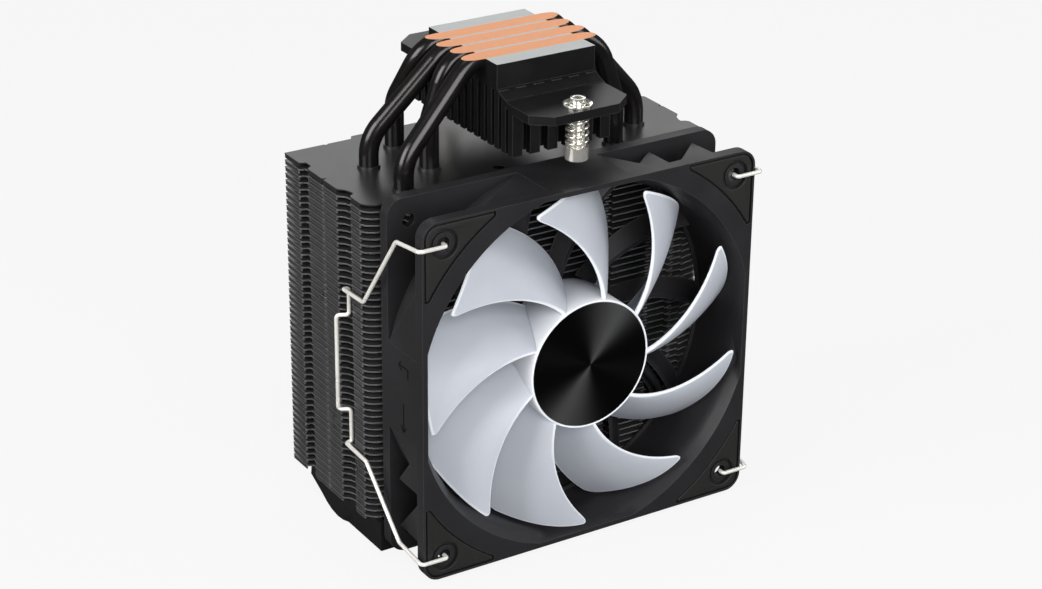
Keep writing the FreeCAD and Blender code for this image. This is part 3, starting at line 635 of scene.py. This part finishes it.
def build_impeller():
    front, back, painted_rim_glow = blade_grids()
    rows, cols = painted_rim_glow.shape
    verts, faces, painted_glow_weights = [], [], []
    for k in range(BLADES):
        a = math.radians(360.0 / BLADES * k)
        ca, sa = math.cos(a), math.sin(a)
        start = len(verts)
        for grid in (front, back):
            for x, y, z in grid.reshape(-1, 3):
                verts.append(fan_point(x * ca - z * sa, y, x * sa + z * ca))
            painted_glow_weights += list(painted_rim_glow.flat)

        def index(side, i, j):
            return start + side * rows * cols + i * cols + j

        for i in range(rows - 1):
            for j in range(cols - 1):
                faces.append((index(0, i, j), index(0, i, j + 1),
                              index(0, i + 1, j + 1), index(0, i + 1, j)))
                faces.append((index(1, i, j), index(1, i + 1, j),
                              index(1, i + 1, j + 1), index(1, i, j + 1)))
        for j in range(cols - 1):   # close the root
            faces.append((index(0, 0, j), index(1, 0, j), index(1, 0, j + 1), index(0, 0, j + 1)))

    start = len(verts)
    cup_verts, cup_faces = lathe(CUP_PROFILE, CUP_SEGMENTS)
    verts += cup_verts
    faces += [tuple(start + i for i in face) for face in cup_faces]
    # The cup's front lip gets the painted glow too.
    painted_glow_weights += [0.75 if r > 20.6 and y < 1.2 else 0.0 for r, y in CUP_PROFILE] * CUP_SEGMENTS

    obj = make_object("impeller_moulding", verts, faces, "blade", "rotor",
                      ["impeller"])
    bm = bmesh.new()
    bm.from_mesh(obj.data)
    layer = bm.verts.layers.float.new("painted_rim_glow")
    bm.verts.ensure_lookup_table()
    for vert, value in zip(bm.verts, painted_glow_weights):
        vert[layer] = value
    # Front and back meet at the blade's edges.
    bmesh.ops.remove_doubles(bm, verts=bm.verts, dist=1e-6)
    bmesh.ops.recalc_face_normals(bm, faces=bm.faces)
    bm.to_mesh(obj.data)
    bm.free()


build_impeller()


# ------------------------------------------- flow arrows on the left panel

PANEL_X, BAR_SINK, BAR_LIFT, BAR_WIDTH = -60.0, 0.1, 0.14, 0.35   # mm

ARROW_BARS = [   # start and end as (y, z) in fan-centred mm
    ((9.0, 9.5), (14.5, 9.5)), ((14.5, 9.5), (12.9, 10.9)), ((14.5, 9.5), (12.9, 8.1)),
    ((9.0, 9.5), (9.0, 6.4)),
    ((11.8, -3.0), (11.8, -12.6)), ((11.8, -12.6), (10.3, -10.8)), ((11.8, -12.6), (13.3, -10.8)),
]


def build_arrows():
    verts, faces = [], []
    for (ay, az), (by, bz) in ARROW_BARS:
        length = math.hypot(by - ay, bz - az)
        ny = -(bz - az) / length * BAR_WIDTH / 2
        nz = (by - ay) / length * BAR_WIDTH / 2
        outline = [(ay + ny, az + nz), (by + ny, bz + nz), (by - ny, bz - nz), (ay - ny, az - nz)]
        o = len(verts)
        for x in (PANEL_X + BAR_SINK, PANEL_X - BAR_LIFT):
            verts += [fan_point(x, y, z) for y, z in outline]
        faces += [(o, o + 1, o + 2, o + 3), (o + 7, o + 6, o + 5, o + 4)]
        for i in range(4):
            j = (i + 1) % 4
            faces.append((o + i, o + 4 + i, o + 4 + j, o + j))
    make_object("flow_arrows_moulded", verts, faces, "mark", "cooler",
                smooth=False)


build_arrows()


# ----------------------------------------------------------------- springs

WIRE_R = 0.46 * MM
TURNS = 4.6
CLOSED = 0.55             # turns at each end with a small pitch


def build_spring(tag):
    """Smooth coil with closed ends, filling the height of the CAD spring that it replaces."""
    lo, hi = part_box("spring_" + tag)
    cx, cy = (lo.x + hi.x) / 2, (lo.y + hi.y) / 2
    coil_r = (hi.x - lo.x) / 2 - 0.5 * MM
    z0, z1 = lo.z + WIRE_R * 0.95, hi.z - WIRE_R * 0.95
    steps = int(TURNS * 40)
    path = []
    for i in range(steps + 1):
        f = i / steps
        rise = np.interp(f * TURNS, [0, CLOSED, TURNS - CLOSED, TURNS], [0, 0.07, 0.93, 1])
        a = 2 * math.pi * TURNS * f
        path.append(Vector((cx + coil_r * math.cos(a), cy + coil_r * math.sin(a),
                            z0 + (z1 - z0) * rise)))
    verts, faces = tube_mesh(path, WIRE_R, sides=16)
    obj = make_object("coil_spring_" + tag, verts, faces, "nickel_part", "cooler",
                      ["spring_" + tag])
    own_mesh(obj)


for tag in ("front", "rear"):
    build_spring(tag)


# --------------------------------------------------------- stage and light

def build_world():
    """A dim studio for lighting, behind a near-white backdrop that only the camera sees."""
    world = bpy.data.worlds.new("studio")
    scene.world = world
    world.use_nodes = True
    tree = world.node_tree
    tree.nodes.clear()
    pick = tree.nodes.new("ShaderNodeMixShader")
    for slot, color, strength in ((1, (0.95, 0.97, 1.0, 1), 0.11), (2, (1, 1, 1, 1), 0.9215)):
        background = tree.nodes.new("ShaderNodeBackground")
        background.inputs["Color"].default_value = color
        background.inputs["Strength"].default_value = strength
        tree.links.new(background.outputs[0], pick.inputs[slot])
    ray = tree.nodes.new("ShaderNodeLightPath")
    out = tree.nodes.new("ShaderNodeOutputWorld")
    tree.links.new(ray.outputs["Is Camera Ray"], pick.inputs[0])
    tree.links.new(pick.outputs[0], out.inputs[0])


def floor_material():
    """Matt and pale. A steady glow toward the camera keeps the sweep even."""
    g = Graph("floor_pale")
    slow = g.noise(6.0)
    path = g.add("ShaderNodeLightPath")
    seen = path.outputs["Is Camera Ray"]
    col = g.tone(slow, grey(0.40), grey(0.42), start=0.0, end=1.0)
    col = g.mix(path.outputs["Is Glossy Ray"], col, grey(0.07))   # darker in reflections
    col = g.mix(seen, col, grey(0.05))
    return g.done(g.bsdf(
        Base_Color=col, Roughness=0.9, Specular_IOR_Level=0.0, Emission_Color=grey(1),
        Emission_Strength=g.math("MULTIPLY", seen, 0.885)))


def build_floor():
    material = floor_material()
    half = 6.0
    mesh = bpy.data.meshes.new("floor")
    corners = [(-half, -half), (half, -half), (half, half), (-half, half)]
    mesh.from_pydata([(x, y, FLOOR_Z) for x, y in corners], [], [(0, 1, 2, 3)])
    floor = bpy.data.objects.new("floor", mesh)
    mesh.materials.append(material)
    scene.collection.objects.link(floor)


def area(name, location, size, power, color):
    """Area light of size (width, height), aimed at the cooler."""
    light = bpy.data.lights.new(name, "AREA")
    light.energy = power
    light.color = color
    light.shape = "RECTANGLE"
    light.size, light.size_y = size
    obj = bpy.data.objects.new(name, light)
    scene.collection.objects.link(obj)
    obj.location = location
    aim = Vector((0.0, 0.0, -0.08)) - Vector(location)
    obj.rotation_euler = aim.to_track_quat("-Z", "Y").to_euler()
    obj.visible_camera = False


def build_camera():
    data = bpy.data.cameras.new("camera")
    data.lens = 89.14
    data.sensor_width = 36.0
    data.sensor_fit = "HORIZONTAL"
    data.clip_start = 0.01
    camera = bpy.data.objects.new("camera", data)
    scene.collection.objects.link(camera)
    right = Vector((0.8480, -0.5299, 0.0099)).normalized()
    forward = Vector((0.48461, 0.76765, -0.41935)).normalized()
    up = right.cross(forward).normalized()
    right = forward.cross(up).normalized()
    turn = Matrix((right, up, -forward)).transposed().to_4x4()
    camera.matrix_world = Matrix.Translation((-0.40098, -0.64252, 0.26188)) @ turn
    scene.camera = camera


build_world()
build_floor()
area("key_front", location=(-0.30, -1.15, 0.45), size=(0.9, 0.8), power=15.5,
     color=(0.985, 0.99, 1.0))
area("key_top", location=(-0.10, 0.10, 1.0), size=(0.7, 0.6), power=2.6, color=(1.0, 0.99, 0.97))
area("card_back", location=(0.75, 1.15, 0.55), size=(1.2, 0.5), power=3.1, color=(1.0, 1.0, 0.99))
area("side_left", location=(-1.25, -0.10, 0.46), size=(0.8, 0.75), power=17.0,
     color=(1.0, 0.995, 0.99))
area("side_right", location=(1.0, -0.6, 0.42), size=(0.5, 0.7), power=4.5, color=(1.0, 1.0, 1.0))
build_camera()
scene.view_settings.view_transform = "Standard"

bpy.context.view_layer.update()
